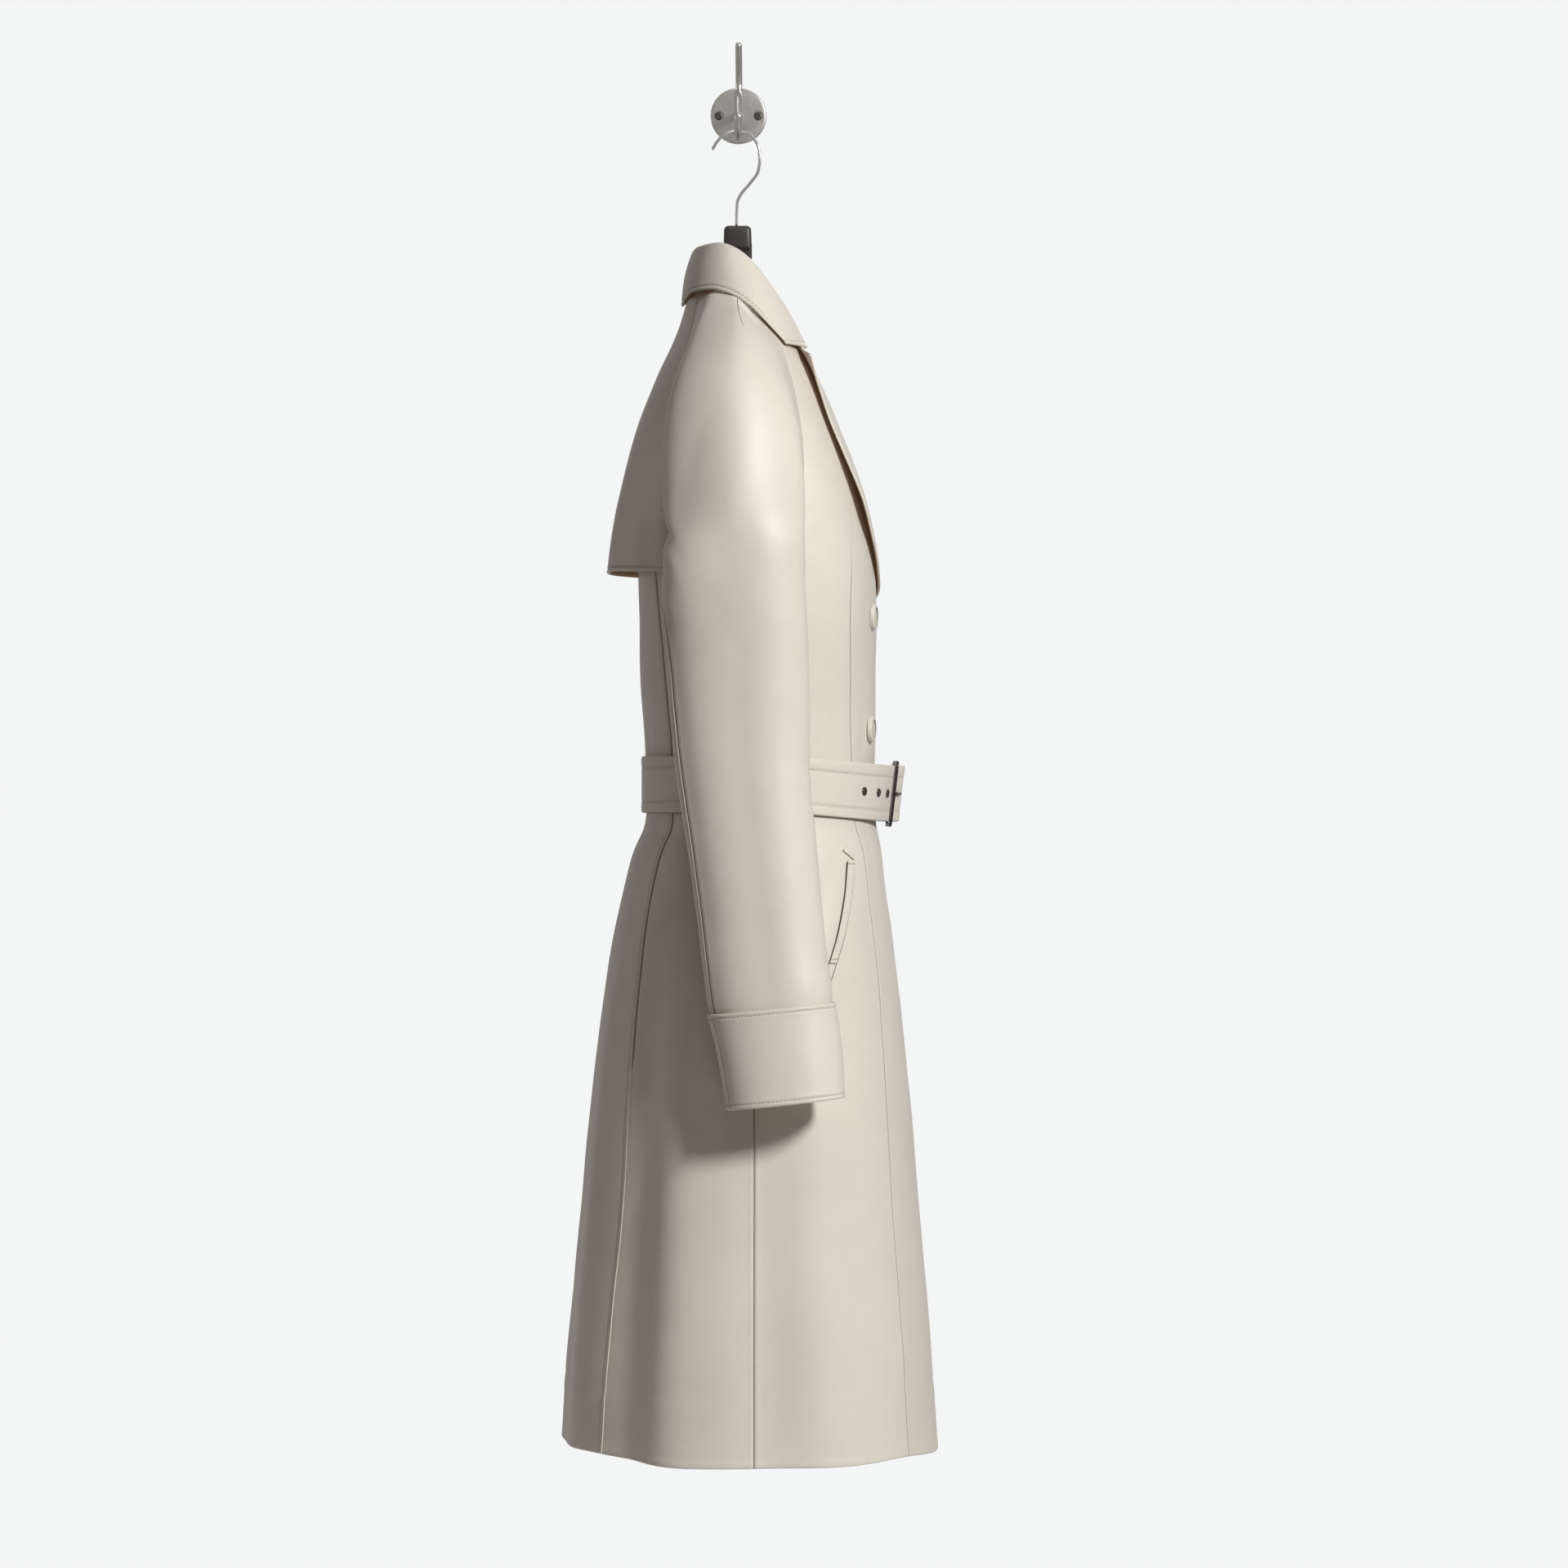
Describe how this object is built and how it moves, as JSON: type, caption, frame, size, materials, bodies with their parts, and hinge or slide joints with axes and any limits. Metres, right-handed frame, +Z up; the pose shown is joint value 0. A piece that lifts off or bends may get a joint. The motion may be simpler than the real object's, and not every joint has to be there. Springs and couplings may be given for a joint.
{
  "type": "leather trench coat hanging on a wall hook",
  "caption": "Long belted leather trench coat with raglan sleeves, storm flap and turned collar, hanging from a hanger on a wall hook.",
  "frame": {"origin": "centre of the wall plate's back face, where the hook meets the wall", "axes": "+Z up, +Y into the wall, +X along the wall towards the coat's front; the coat hangs sideways to the wall"},
  "size_m": [0.368, 0.5374, 1.3752],
  "materials": {
    "leather": "smooth nappa leather with a soft sheen, pale bone",
    "dark_metal": "dark gunmetal, half gloss",
    "button": "polished horn-like plastic, beige",
    "bright_wire": "bright plated wire",
    "hanger_black": "near-black, satin",
    "satin_steel": "satin nickel-plated steel"
  },
  "bodies": {
    "root": {"back_panel": "leather", "side_back_right": "leather", "side_back_left": "leather", "side_front_right": "leather", "side_front_left": "leather", "front_right": "leather", "front_left": "leather", "sleeve_top_right": "leather", "sleeve_top_left": "leather", "sleeve_under_right": "leather", "sleeve_under_left": "leather", "cuff_right": "leather", "cuff_left": "leather", "storm_flap": "leather", "collar_stand": "leather", "collar_fall": "leather", "lapel_right": "leather", "lapel_left": "leather", "pocket_welt_right": "leather", "pocket_welt_left": "leather", "pocket_tab_right": "leather", "pocket_tab_left": "leather", "belt": "leather", "buckle_frame": "dark_metal", "buckle_prong": "dark_metal", "eyelet_1": "dark_metal", "eyelet_2": "dark_metal", "eyelet_3": "dark_metal", "button_upper_right": "button", "button_lower_right": "button", "button_upper_left": "button", "button_lower_left": "button", "hanger_wire": "bright_wire", "hanger_neck": "hanger_black", "hanger_arms": "hanger_black", "wall_plate": "satin_steel", "hook_arm": "satin_steel", "hook_upper_prong": "satin_steel", "screw_left": "satin_steel", "screw_right": "satin_steel"}
  },
  "joints": []
}
